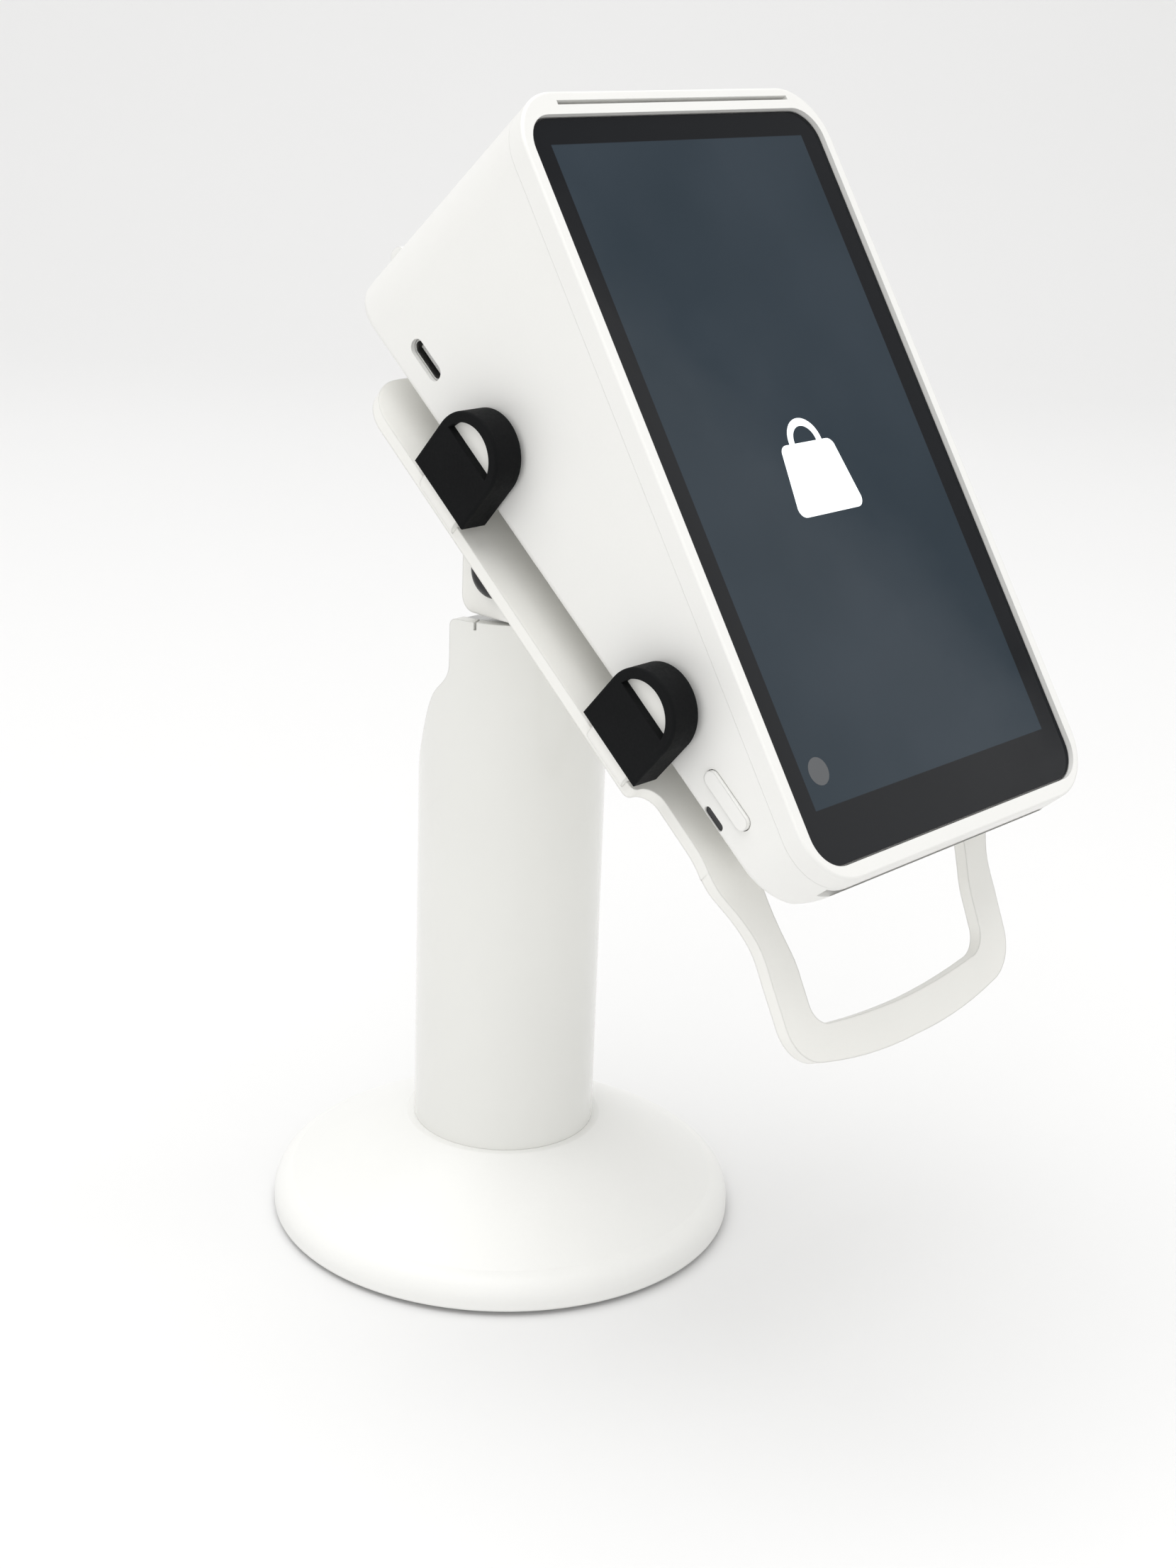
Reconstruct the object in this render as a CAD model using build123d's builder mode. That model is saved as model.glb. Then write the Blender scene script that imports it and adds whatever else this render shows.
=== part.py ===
from build123d import *
import math
import os

# A handheld payment terminal clamped on a swivel and tilt counter stand.
# Millimetres and degrees. The origin is the centre of the base's underside, +Z is up,
# -Y is the side that the screen faces and +X is the right of someone reading the screen.

# ---- driving dimensions: attitude ----
SCREEN_LEAN = 57.4          # screen above the horizontal
WEDGE_ANGLE = 16.9          # between the screen and the terminal's back
SCREEN_CENTRE = Vector(0, -73.3, 177.1)
BACK_DEPTH = 31.2           # from the screen's centre to the terminal's back edges

# ---- terminal ----
BODY_HALF_WIDTH = 41.75     # at the front lip
SIDE_DRAFT = 0.029          # how fast the side walls widen towards the back
BODY_BOTTOM = -71.2         # along the screen, from its centre
BODY_TOP = 73.3
BODY_CORNER = 11.0
TOP_TAPER = 0.178           # how fast the ends close in towards the back
BOTTOM_TAPER = -0.16
LIP_HEIGHT = 0.9            # front lip above the glass
TAPER_START = 2.2           # height at which the end positions above hold
SEAM_DEPTH = -3.0           # joint between front frame and rear housing
BACK_CROWN = 1.7            # back face behind the back edges
WALL = 2.0
GLASS_WIDTH = 78.5
GLASS_LENGTH = 136.6
GLASS_CORNER = 6.0
GLASS_THICKNESS = 1.1
GAP = 0.3                   # between parts that move past each other

# ---- bracket ----
SHEET = 2.5
PLATE_FRONT = -7.5          # from the terminal's back edges
PLATE_HALF_WIDTH = 47.0
PLATE_TOP = 48.8
TAB_HALF = 5.5
TAB_OUTSIDE = 48.4
TAB_TOP = 5.0
TAB_HEAD = 6.6              # radius of the tab's round head
TAB_PLACES = {"upper": 20.6, "lower": -35.7}
CAP_HALF = 8.0
CAP_BASE = -4.5
CAP_ARCH = 5.8              # centre height of the cap's round end
CAP_OUTSIDE = 50.0
HANDLE_BEND = 25.0
HANDLE_START = -60.0

# ---- stand ----
BASE_RADIUS = 50.0
BASE_RIM = 8.2
PAD_THICKNESS = 1.2
POLE_RADIUS = 19.5
POLE_WALL = 2.5
POLE_FOOT = 21.6
POLE_TOP = 136.8
NECK_BACK = -0.7            # the tube's back half is cut away behind this plane
SWIVEL_Y = -9.5             # swivel and tilt axes both stand over the remaining half
TILT_Z = 147.3
HEAD_BOTTOM = 137.6
HEAD_HALF_WIDTH = 15.5
CHEEK = 5.0
BOLT_RADIUS = 3.0
RUNNING = 0.05              # radial clearance of a turning fit
SLIP = 0.1                  # between faces that slide on each other

# ---- planes ----
RIGHT = Vector(1, 0, 0)
PLATE_LEAN = SCREEN_LEAN - WEDGE_ANGLE


def up_along(lean):
    return Vector(0, math.cos(math.radians(lean)), math.sin(math.radians(lean)))


def out_of(lean):
    return Vector(0, -math.sin(math.radians(lean)), math.cos(math.radians(lean)))


SCREEN_UP, SCREEN_OUT = up_along(SCREEN_LEAN), out_of(SCREEN_LEAN)
PLATE_UP, PLATE_OUT = up_along(PLATE_LEAN), out_of(PLATE_LEAN)
BACK_ORIGIN = SCREEN_CENTRE - SCREEN_OUT * BACK_DEPTH
screen = Plane(origin=SCREEN_CENTRE, x_dir=RIGHT, z_dir=SCREEN_OUT)      # x, along the screen
screen_side = Plane(origin=SCREEN_CENTRE, x_dir=SCREEN_UP, z_dir=RIGHT)  # along, out of the screen
back = Plane(origin=BACK_ORIGIN, x_dir=RIGHT, z_dir=PLATE_OUT)           # x, along the plate
back_side = Plane(origin=BACK_ORIGIN, x_dir=PLATE_UP, z_dir=RIGHT)       # along, out of the plate


def across_back(along):
    """Plane square to the plate, with x to the right and y out of the plate."""
    return Plane(origin=BACK_ORIGIN + PLATE_UP * along, x_dir=RIGHT, z_dir=PLATE_UP * -1)


def pivot_on_back():
    """Where the tilt axis lies, as along and out of the plate."""
    offset = Vector(0, SWIVEL_Y, TILT_Z) - BACK_ORIGIN
    return offset.dot(PLATE_UP), offset.dot(PLATE_OUT)


def save(built, name):
    built.part.label = name
    export_step(built.part, f"parts/{name}.step")


os.makedirs("parts", exist_ok=True)

# ======================= base and pole =======================
RIM_ROUND = 5.0
DOME_EDGE = BASE_RADIUS - RIM_ROUND
COVER_WALL = 2.0
HUB_RADIUS = 21.0
BASE_HOLE = 9.0

with BuildPart() as base_cover:
    with BuildSketch(Plane.XZ):
        with BuildLine():
            rim = Line((BASE_RADIUS, PAD_THICKNESS), (BASE_RADIUS, BASE_RIM - RIM_ROUND))
            edge = TangentArc(rim @ 1, (DOME_EDGE + 1.0, BASE_RIM), tangent=rim % 1)
            dome = ThreePointArc(edge @ 1, (33.0, 15.8), (HUB_RADIUS, POLE_FOOT))
            Polyline(dome @ 1, (BASE_HOLE, POLE_FOOT), (BASE_HOLE, POLE_FOOT - COVER_WALL),
                     (HUB_RADIUS - 1, POLE_FOOT - COVER_WALL))
            inside = ThreePointArc((HUB_RADIUS - 1, POLE_FOOT - COVER_WALL), (32.2, 13.8),
                                   (DOME_EDGE, BASE_RIM - COVER_WALL))
            Polyline(inside @ 1, (BASE_RADIUS - COVER_WALL, BASE_RIM - RIM_ROUND),
                     (BASE_RADIUS - COVER_WALL, PAD_THICKNESS), rim @ 0)
        make_face()
    revolve(axis=Axis.Z)
save(base_cover, "base_cover")

WEIGHT_RADIUS = 46.5
WEIGHT_TOP = 5.0
BOSS_RADIUS = 14.0
FOOT_BOLT_RADIUS = 4.0
FOOT_BOLT_HEAD = 7.0
FOOT_BOLT_HEAD_TOP = 6.5
with BuildPart() as base_weight:
    with BuildSketch(Plane.XY.offset(PAD_THICKNESS)):
        Circle(WEIGHT_RADIUS)
    extrude(amount=WEIGHT_TOP - PAD_THICKNESS)
    chamfer(base_weight.edges().sort_by(Axis.Z)[-1], length=0.8)
    with BuildSketch(Plane.XY.offset(WEIGHT_TOP)):
        Circle(BOSS_RADIUS)
    extrude(amount=POLE_FOOT - COVER_WALL - WEIGHT_TOP)
    with BuildSketch(Plane.XY):
        Circle(FOOT_BOLT_RADIUS)
    extrude(amount=POLE_FOOT, mode=Mode.SUBTRACT)
    with BuildSketch(Plane.XY):
        Circle(FOOT_BOLT_HEAD + GAP)
    extrude(amount=FOOT_BOLT_HEAD_TOP, mode=Mode.SUBTRACT)
save(base_weight, "base_weight")

PAD_RADIUS = 48.0
with BuildPart() as base_pad:
    with BuildSketch(Plane.XY):
        Circle(PAD_RADIUS)
    extrude(amount=PAD_THICKNESS)
save(base_pad, "base_pad")

PLUG_TOP = 34.0
with BuildPart() as pole_foot_plug:
    with BuildSketch(Plane.XY.offset(POLE_FOOT)):
        Circle(POLE_RADIUS - POLE_WALL)
        Circle(FOOT_BOLT_RADIUS, mode=Mode.SUBTRACT)
    extrude(amount=PLUG_TOP - POLE_FOOT)
save(pole_foot_plug, "pole_foot_plug")

FOOT_BOLT_BOTTOM = 1.7
FOOT_BOLT_TOP = 32.0
HEX_KEY = 5.0
with BuildPart() as pole_foot_bolt:
    with BuildSketch(Plane.XY.offset(FOOT_BOLT_BOTTOM)):
        Circle(FOOT_BOLT_HEAD)
    extrude(amount=FOOT_BOLT_HEAD_TOP - FOOT_BOLT_BOTTOM)
    with BuildSketch(Plane.XY.offset(FOOT_BOLT_HEAD_TOP)):
        Circle(FOOT_BOLT_RADIUS)
    extrude(amount=FOOT_BOLT_TOP - FOOT_BOLT_HEAD_TOP)
    with BuildSketch(Plane.XY.offset(FOOT_BOLT_BOTTOM)):
        RegularPolygon(HEX_KEY / 2, 6, major_radius=False)
    extrude(amount=3.0, mode=Mode.SUBTRACT)
save(pole_foot_bolt, "pole_foot_bolt")

NOTCH_ANGLE = 200.0
NOTCH_WIDTH = 0.5
NOTCH_DEPTH = 1.6
with BuildPart() as pole_tube:
    with BuildSketch(Plane.XY.offset(POLE_FOOT)):
        Circle(POLE_RADIUS)
        Circle(POLE_RADIUS - POLE_WALL, mode=Mode.SUBTRACT)
    extrude(amount=POLE_TOP - POLE_FOOT)
    # the cable cut-out: half of the tube at the neck, closing in a long shoulder at the back
    with BuildSketch(Plane.YZ):
        with BuildLine():
            corner = TangentArc((NECK_BACK - 1.6, POLE_TOP), (NECK_BACK, POLE_TOP - 1.6),
                                tangent=(1, 0))
            neck = Line(corner @ 1, (NECK_BACK, 127.5))
            shoulder = Spline(neck @ 1, (3.4, 120.8), (7.0, 114.5), (12.5, 102.0), (24.0, 86.0),
                              tangents=[(0, -1), (0.75, -1)])
            Polyline(shoulder @ 1, (24.0, POLE_TOP + 1), (NECK_BACK - 1.6, POLE_TOP + 1),
                     corner @ 0)
        make_face()
    extrude(amount=POLE_RADIUS + 1, both=True, mode=Mode.SUBTRACT)
    with BuildSketch(Plane.XY.offset(POLE_TOP)):
        with PolarLocations(POLE_RADIUS - POLE_WALL / 2, 1, start_angle=NOTCH_ANGLE):
            Rectangle(POLE_WALL + 1, NOTCH_WIDTH)
    extrude(amount=-NOTCH_DEPTH, mode=Mode.SUBTRACT)
save(pole_tube, "pole_tube")

SEAT_TOP = POLE_TOP - 0.8
SEAT_THICKNESS = 4.0
with BuildPart() as pole_seat:
    with BuildSketch(Plane.XY.offset(SEAT_TOP - SEAT_THICKNESS)):
        Circle(POLE_RADIUS - POLE_WALL)
        with Locations((0, NECK_BACK + POLE_RADIUS)):
            Rectangle(2 * POLE_RADIUS, 2 * POLE_RADIUS, mode=Mode.SUBTRACT)
        with Locations((0, SWIVEL_Y)):
            Circle(BOLT_RADIUS + RUNNING, mode=Mode.SUBTRACT)
    extrude(amount=SEAT_THICKNESS)
save(pole_seat, "pole_seat")

# ======================= swivel head =======================
swivel_axis_plane = Plane(origin=(0, SWIVEL_Y, 0))
SWIVEL_WASHER_RADIUS = 7.5
with BuildPart() as swivel_washer:
    with BuildSketch(swivel_axis_plane.offset(SEAT_TOP + SLIP)):
        Circle(SWIVEL_WASHER_RADIUS)
        Circle(BOLT_RADIUS, mode=Mode.SUBTRACT)
    extrude(amount=HEAD_BOTTOM - SEAT_TOP - SLIP)
save(swivel_washer, "swivel_washer")

FLOOR_TOP = 141.6
HEAD_FRONT = -19.0
HEAD_BACK = 0.0
HEAD_TOP = 157.0
BARREL = TILT_Z - FLOOR_TOP - 0.5
CSK_RADIUS = 5.6
with BuildPart() as swivel_head:
    with BuildSketch(Plane.YZ):
        with Locations(((HEAD_FRONT + HEAD_BACK) / 2, (HEAD_BOTTOM + HEAD_TOP) / 2)):
            RectangleRounded(HEAD_BACK - HEAD_FRONT, HEAD_TOP - HEAD_BOTTOM, 3.2)
    extrude(amount=HEAD_HALF_WIDTH, both=True)
    with BuildSketch(Plane.XZ.offset(-1)):
        with Locations((0, (FLOOR_TOP + HEAD_TOP) / 2 + 5)):
            Rectangle(2 * (HEAD_HALF_WIDTH - CHEEK), HEAD_TOP - FLOOR_TOP + 10)
    extrude(amount=30, both=True, mode=Mode.SUBTRACT)
    with BuildSketch(Plane(origin=(0, SWIVEL_Y, TILT_Z), z_dir=(1, 0, 0))):
        Circle(BOLT_RADIUS)
    extrude(amount=HEAD_HALF_WIDTH, both=True, mode=Mode.SUBTRACT)
    with Locations((0, SWIVEL_Y, FLOOR_TOP)):
        CounterSinkHole(BOLT_RADIUS, CSK_RADIUS, depth=FLOOR_TOP - HEAD_BOTTOM, counter_sink_angle=90)
save(swivel_head, "swivel_head")

CSK_DEPTH = CSK_RADIUS - BOLT_RADIUS
SWIVEL_BOLT_END = 122.0
with BuildPart() as swivel_bolt:
    with BuildSketch(Plane(origin=(0, SWIVEL_Y, 0), x_dir=(1, 0, 0), z_dir=(0, -1, 0))):
        Polygon((0, SWIVEL_BOLT_END), (BOLT_RADIUS, SWIVEL_BOLT_END),
                (BOLT_RADIUS, FLOOR_TOP - CSK_DEPTH), (CSK_RADIUS, FLOOR_TOP), (0, FLOOR_TOP),
                align=None)
    revolve(axis=Axis((0, SWIVEL_Y, 0), (0, 0, 1)))
    with BuildSketch(swivel_axis_plane.offset(FLOOR_TOP)):
        RegularPolygon(2.0, 6, major_radius=False)
    extrude(amount=-2.0, mode=Mode.SUBTRACT)
save(swivel_bolt, "swivel_bolt")

SPRING_WASHER = 3.0
NUT_HEIGHT = 5.0
under_seat = SEAT_TOP - SEAT_THICKNESS - SLIP
with BuildPart() as swivel_spring_washers:
    with BuildSketch(swivel_axis_plane.offset(under_seat - SPRING_WASHER)):
        Circle(6.2)
        Circle(BOLT_RADIUS, mode=Mode.SUBTRACT)
    extrude(amount=SPRING_WASHER)
save(swivel_spring_washers, "swivel_spring_washers")

with BuildPart() as swivel_nut:
    with BuildSketch(swivel_axis_plane.offset(under_seat - SPRING_WASHER - NUT_HEIGHT)):
        RegularPolygon(5.0, 6, major_radius=False)
        Circle(BOLT_RADIUS, mode=Mode.SUBTRACT)
    extrude(amount=NUT_HEIGHT)
save(swivel_nut, "swivel_nut")

TILT_HEAD_RADIUS = 5.4
TILT_HEAD_HEIGHT = 3.0
tilt_face = Plane(origin=(0, SWIVEL_Y, TILT_Z), x_dir=(0, 1, 0), z_dir=(1, 0, 0))


TILT_HEAD_ROUND = 2.2
with BuildPart() as tilt_bolt:
    with BuildSketch(tilt_face.offset(-HEAD_HALF_WIDTH)):
        Circle(TILT_HEAD_RADIUS)
    extrude(amount=-TILT_HEAD_HEIGHT)
    fillet(tilt_bolt.edges().sort_by(Axis.X)[0], radius=TILT_HEAD_ROUND)
    with BuildSketch(tilt_face.offset(-HEAD_HALF_WIDTH - TILT_HEAD_HEIGHT)):
        RegularPolygon(2.0, 6, major_radius=False)
    extrude(amount=2.2, mode=Mode.SUBTRACT)
    with BuildSketch(tilt_face.offset(-HEAD_HALF_WIDTH)):
        Circle(BOLT_RADIUS)
    extrude(amount=2 * HEAD_HALF_WIDTH)
save(tilt_bolt, "tilt_bolt")

with BuildPart() as tilt_nut:
    with BuildSketch(tilt_face.offset(HEAD_HALF_WIDTH)):
        Circle(TILT_HEAD_RADIUS)
    extrude(amount=TILT_HEAD_HEIGHT)
    fillet(tilt_nut.edges().sort_by(Axis.X)[-1], radius=TILT_HEAD_ROUND)
save(tilt_nut, "tilt_nut")

WASHER_THICKNESS = 0.8
CHEEK_INSIDE = HEAD_HALF_WIDTH - CHEEK
with BuildPart() as tilt_washers:
    for start in (-CHEEK_INSIDE, CHEEK_INSIDE - WASHER_THICKNESS):
        with BuildSketch(tilt_face.offset(start)):
            Circle(BARREL)
            Circle(BOLT_RADIUS, mode=Mode.SUBTRACT)
        extrude(amount=WASHER_THICKNESS)
save(tilt_washers, "tilt_washers")

# ======================= bracket =======================
PLATE_BACK = PLATE_FRONT - SHEET
pivot_along, pivot_out = pivot_on_back()
ARM_HALF_WIDTH = CHEEK_INSIDE - WASHER_THICKNESS - GAP
WEB_HALF = 4.4
FLANGE_THICKNESS = 3.0
FLANGE_HALF_LENGTH = 17.0
FLANGE_HALF_WIDTH = 14.0
flange_back = PLATE_BACK - FLANGE_THICKNESS
SCREW_PLACES = [(x, pivot_along + along) for x in (-9.0, 9.0) for along in (-12.0, 12.0)]
SCREW_RADIUS = 2.0
SCREW_HEAD = 4.0

with BuildPart() as tilt_arm:
    with BuildSketch(back_side):
        with Locations((pivot_along, pivot_out)):
            Circle(BARREL)
        with Locations((pivot_along, (pivot_out + flange_back) / 2)):
            Rectangle(2 * WEB_HALF, flange_back - pivot_out)
    extrude(amount=ARM_HALF_WIDTH, both=True)
    with BuildSketch(back.offset(flange_back)):
        with Locations((0, pivot_along)):
            RectangleRounded(2 * FLANGE_HALF_WIDTH, 2 * FLANGE_HALF_LENGTH, 3)
    extrude(amount=FLANGE_THICKNESS)
    with BuildSketch(tilt_face.offset(-ARM_HALF_WIDTH)):
        Circle(BOLT_RADIUS + RUNNING)
    extrude(amount=2 * ARM_HALF_WIDTH, mode=Mode.SUBTRACT)
    with BuildSketch(back.offset(flange_back)):
        with Locations(SCREW_PLACES):
            Circle(SCREW_RADIUS)
    extrude(amount=FLANGE_THICKNESS, mode=Mode.SUBTRACT)
save(tilt_arm, "tilt_arm")

with BuildPart() as arm_screws:
    with BuildSketch(back.offset(flange_back)):
        with Locations(SCREW_PLACES):
            Circle(SCREW_RADIUS)
    extrude(amount=PLATE_FRONT - flange_back)
    with BuildSketch(back.offset(PLATE_FRONT)):
        with Locations(SCREW_PLACES):
            Circle(SCREW_HEAD)
    extrude(amount=-2.0, taper=45)
save(arm_screws, "arm_screws")

HANDLE_TOP_HALF = 41.8
HANDLE_HALF = 34.2
HANDLE_END = 43.1
GRIP_INNER = 26.6
GRIP_TOP_HALF = 30.0
GRIP_TOP = 4.0
GRIP_END = 35.9
BEND_OVERLAP = 1.5
BEND_RADIUS = 18.0
sheet_middle = PLATE_FRONT - SHEET / 2
bend_cos = math.cos(math.radians(HANDLE_BEND))
bend_sin = math.sin(math.radians(HANDLE_BEND))
handle_out = PLATE_OUT * bend_cos - PLATE_UP * bend_sin
handle_origin = BACK_ORIGIN + PLATE_UP * HANDLE_START + PLATE_OUT * PLATE_FRONT
handle = Plane(origin=handle_origin, x_dir=RIGHT, z_dir=handle_out)      # x, up the handle
CUT_DEPTH = 10.0

with BuildSketch(back.offset(PLATE_BACK - CUT_DEPTH)) as flat_outline:
    with BuildLine():
        top = Line((0, PLATE_TOP), (PLATE_HALF_WIDTH - 9, PLATE_TOP))
        top_corner = TangentArc(top @ 1, (PLATE_HALF_WIDTH, PLATE_TOP - 9), tangent=(1, 0))
        side_edge = Line(top_corner @ 1, (PLATE_HALF_WIDTH, -42.0))
        nose = TangentArc(side_edge @ 1, (PLATE_HALF_WIDTH - 1.3, -43.3), tangent=(0, -1))
        waist = TangentArc(nose @ 1, (HANDLE_TOP_HALF, -47.2), tangent=(-1, 0))
        Polyline(waist @ 1, (HANDLE_TOP_HALF, HANDLE_START - BEND_OVERLAP),
                 (0, HANDLE_START - BEND_OVERLAP), (0, PLATE_TOP))
    make_face()
    mirror(about=Plane.YZ)

with BuildSketch(handle.offset(-CUT_DEPTH)) as loop_outline:
    with BuildLine():
        loop_top = Line((0, BEND_OVERLAP), (HANDLE_TOP_HALF, BEND_OVERLAP))
        straight = Line(loop_top @ 1, (HANDLE_TOP_HALF, -1.0))
        flare = Spline(straight @ 1, (38.6, -9.1), (34.9, -16.7), (HANDLE_HALF, -23.7),
                       tangents=[(0, -1), (0, -1)])
        leg = Line(flare @ 1, (HANDLE_HALF - 0.4, -31.5))
        heel = TangentArc(leg @ 1, (26.2, -40.4), tangent=(0, -1))
        ThreePointArc(heel @ 1, (14.0, -42.5), (0, -HANDLE_END))
        Line((0, -HANDLE_END), (0, BEND_OVERLAP))
    make_face()
    mirror(about=Plane.YZ)

with BuildSketch(handle.offset(-CUT_DEPTH)) as hand_opening:
    with BuildLine():
        grip_top = Line((0, GRIP_TOP), (GRIP_TOP_HALF - 6, GRIP_TOP))
        shoulder_in = TangentArc(grip_top @ 1, (GRIP_TOP_HALF, GRIP_TOP - 6), tangent=(1, 0))
        flare_in = Spline(shoulder_in @ 1, (29.4, -10.5), (27.9, -17.5), (GRIP_INNER, -25.0),
                          tangents=[(0, -1), (0, -1)])
        leg_in = Line(flare_in @ 1, (GRIP_INNER - 0.2, -29.5))
        heel_in = TangentArc(leg_in @ 1, (21.6, -34.4), tangent=(0, -1))
        ThreePointArc(heel_in @ 1, (12.0, -35.4), (0, -GRIP_END))
        Line((0, -GRIP_END), (0, GRIP_TOP))
    make_face()
    mirror(about=Plane.YZ)

THROUGH = 2 * CUT_DEPTH + 4
flat_prism = extrude(flat_outline.sketch, amount=THROUGH)
loop_prism = extrude(loop_outline.sketch, amount=THROUGH)
opening_prism = extrude(hand_opening.sketch, amount=THROUGH)
STRIP_LENGTH = 60.0
strip_end = (HANDLE_START - STRIP_LENGTH * bend_cos, sheet_middle - STRIP_LENGTH * bend_sin)

with BuildPart() as bracket_plate:
    with BuildSketch(back_side):
        with BuildLine():
            FilletPolyline((PLATE_TOP + 1, sheet_middle), (HANDLE_START, sheet_middle), strip_end,
                           radius=BEND_RADIUS)
        trace(line_width=SHEET)
    extrude(amount=PLATE_HALF_WIDTH + 3, both=True)
    add(flat_prism + loop_prism, mode=Mode.INTERSECT)
    add(opening_prism, mode=Mode.SUBTRACT)
    # bent-up tabs that carry the grip caps
    for along in TAB_PLACES.values():
        with BuildSketch(across_back(along)):
            with BuildLine():
                inside_x = TAB_OUTSIDE - SHEET
                FilletPolyline((38, PLATE_FRONT), (inside_x, PLATE_FRONT), (inside_x, TAB_TOP),
                               radius=1.0)
                Line((inside_x, TAB_TOP), (TAB_OUTSIDE, TAB_TOP))
                FilletPolyline((TAB_OUTSIDE, TAB_TOP), (TAB_OUTSIDE, PLATE_BACK), (38, PLATE_BACK),
                               radius=1.0 + SHEET)
                Line((38, PLATE_BACK), (38, PLATE_FRONT))
            make_face()
            mirror(about=Plane.YZ)
        extrude(amount=TAB_HALF, both=True)
        for sign in (-1, 1):
            with BuildSketch(back_side.offset(sign * (TAB_OUTSIDE - SHEET))):
                with Locations((along, CAP_ARCH)):
                    Circle(TAB_HEAD)
            extrude(amount=sign * SHEET)
    with BuildSketch(back.offset(PLATE_BACK)):
        with Locations(SCREW_PLACES):
            Circle(SCREW_RADIUS)
    extrude(amount=SHEET, mode=Mode.SUBTRACT)
    with BuildSketch(back.offset(PLATE_FRONT)):
        with Locations(SCREW_PLACES):
            Circle(SCREW_HEAD)
    extrude(amount=-2.0, taper=45, mode=Mode.SUBTRACT)
save(bracket_plate, "bracket_plate")

# ---- grip caps ----
CAP_INSIDE = 43.9
PAD_FACE = {"upper": 42.95, "lower": 42.45}    # inner pad, against the terminal's wall
PAD_INSET = 1.5
WINDOW_BASE = 6.7
WINDOW_RADIUS = 6.2
for level, along in TAB_PLACES.items():
    for side, sign in (("left", -1), ("right", 1)):
        with BuildPart() as grip_cap:
            with BuildSketch(back_side.offset(sign * CAP_INSIDE)):
                with Locations((along, (CAP_BASE + CAP_ARCH) / 2)):
                    Rectangle(2 * CAP_HALF, CAP_ARCH - CAP_BASE)
                with Locations((along, CAP_ARCH)):
                    Circle(CAP_HALF)
            extrude(amount=sign * (CAP_OUTSIDE - CAP_INSIDE))
            rim_edges = grip_cap.faces().sort_by(Axis.X)[0 if sign < 0 else -1].edges()
            fillet(rim_edges, radius=0.5)
            with BuildSketch(back_side.offset(sign * PAD_FACE[level])):
                with Locations((along, CAP_ARCH)):
                    Circle(CAP_HALF - PAD_INSET)
            extrude(amount=sign * (CAP_INSIDE - PAD_FACE[level]))
            with BuildSketch(back_side.offset(sign * TAB_OUTSIDE)):
                with Locations((along, CAP_ARCH - 0.2)):
                    Circle(WINDOW_RADIUS)
                with Locations((along, WINDOW_BASE - WINDOW_RADIUS)):
                    Rectangle(3 * WINDOW_RADIUS, 2 * WINDOW_RADIUS, mode=Mode.SUBTRACT)
            extrude(amount=sign * (CAP_OUTSIDE - TAB_OUTSIDE + 1), mode=Mode.SUBTRACT)
            with BuildSketch(back_side.offset(sign * (TAB_OUTSIDE - SHEET))):
                with Locations((along, TAB_TOP - CAP_HALF)):
                    Rectangle(2 * TAB_HALF, 2 * CAP_HALF)
                with Locations((along, CAP_ARCH)):
                    Circle(TAB_HEAD)
            extrude(amount=sign * SHEET, mode=Mode.SUBTRACT)
        save(grip_cap, f"grip_cap_{level}_{side}")


# ======================= terminal casing =======================
END_ROUND = 7.0
BACK_EDGE_ROUND = 1.5
FAR = -56.0                 # behind every point of the back face
slope = math.tan(math.radians(WEDGE_ANGLE))
lean_stretch = 1 / math.cos(math.radians(WEDGE_ANGLE))


def top_end(out):
    return BODY_TOP - TOP_TAPER * (TAPER_START - out)


def bottom_end(out):
    return BODY_BOTTOM + BOTTOM_TAPER * (TAPER_START - out)


def wall_half(out):
    return BODY_HALF_WIDTH + SIDE_DRAFT * (LIP_HEIGHT - out)


def wall_beside(along, out):
    """Half width of the body at a place given on the plate's axes."""
    return wall_half((out - along * slope) / lean_stretch - BACK_DEPTH)


def back_face(along, inset=0.0):
    """Height of the back face, below the screen, at a place along the screen."""
    return -BACK_DEPTH - (BACK_CROWN - inset) * lean_stretch - slope * along


def wedge(front, inset=0.0, edge_round=0.0):
    """The terminal's closed wedge, every wall moved in by inset, from a front height back."""
    heel_out = back_face(BODY_BOTTOM, inset)
    toe_out = back_face(top_end(-45.0), inset)
    with BuildPart() as body:
        for out in (front, FAR):
            low, high = bottom_end(out) + inset, top_end(out) - inset
            with BuildSketch(screen.offset(out)):
                with Locations((0, (low + high) / 2)):
                    RectangleRounded(2 * (wall_half(out) - inset), high - low, BODY_CORNER - inset)
        loft()
        with BuildSketch(screen_side):
            Polygon((-100, front), (-100, back_face(-100, inset)), (100, back_face(100, inset)),
                    (100, front), align=None)
        extrude(amount=60, both=True, mode=Mode.INTERSECT)
        if edge_round:
            back_side_face = body.faces().sort_by(Axis(BACK_ORIGIN, PLATE_OUT))[0]
            fillet(back_side_face.edges(), radius=edge_round)
        with BuildSketch(screen_side):
            with BuildLine():
                outline = FilletPolyline(
                    (bottom_end(front) + inset, front), (bottom_end(heel_out) + inset, heel_out),
                    (top_end(toe_out) - inset, toe_out), (top_end(front) - inset, front),
                    radius=END_ROUND - inset)
                Line(outline @ 1, outline @ 0)
            make_face()
        extrude(amount=60, both=True, mode=Mode.INTERSECT)
    return body.part


def slab(low, high, along_low=-100.0, along_high=100.0, half_width=60.0):
    """A block square to the screen, between two heights."""
    with BuildPart() as block:
        with BuildSketch(screen.offset(low)):
            with Locations((0, (along_low + along_high) / 2)):
                Rectangle(2 * half_width, along_high - along_low)
        extrude(amount=high - low)
    return block.part


outer = wedge(LIP_HEIGHT, 0.0, BACK_EDGE_ROUND)
inner = wedge(LIP_HEIGHT, WALL)

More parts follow.
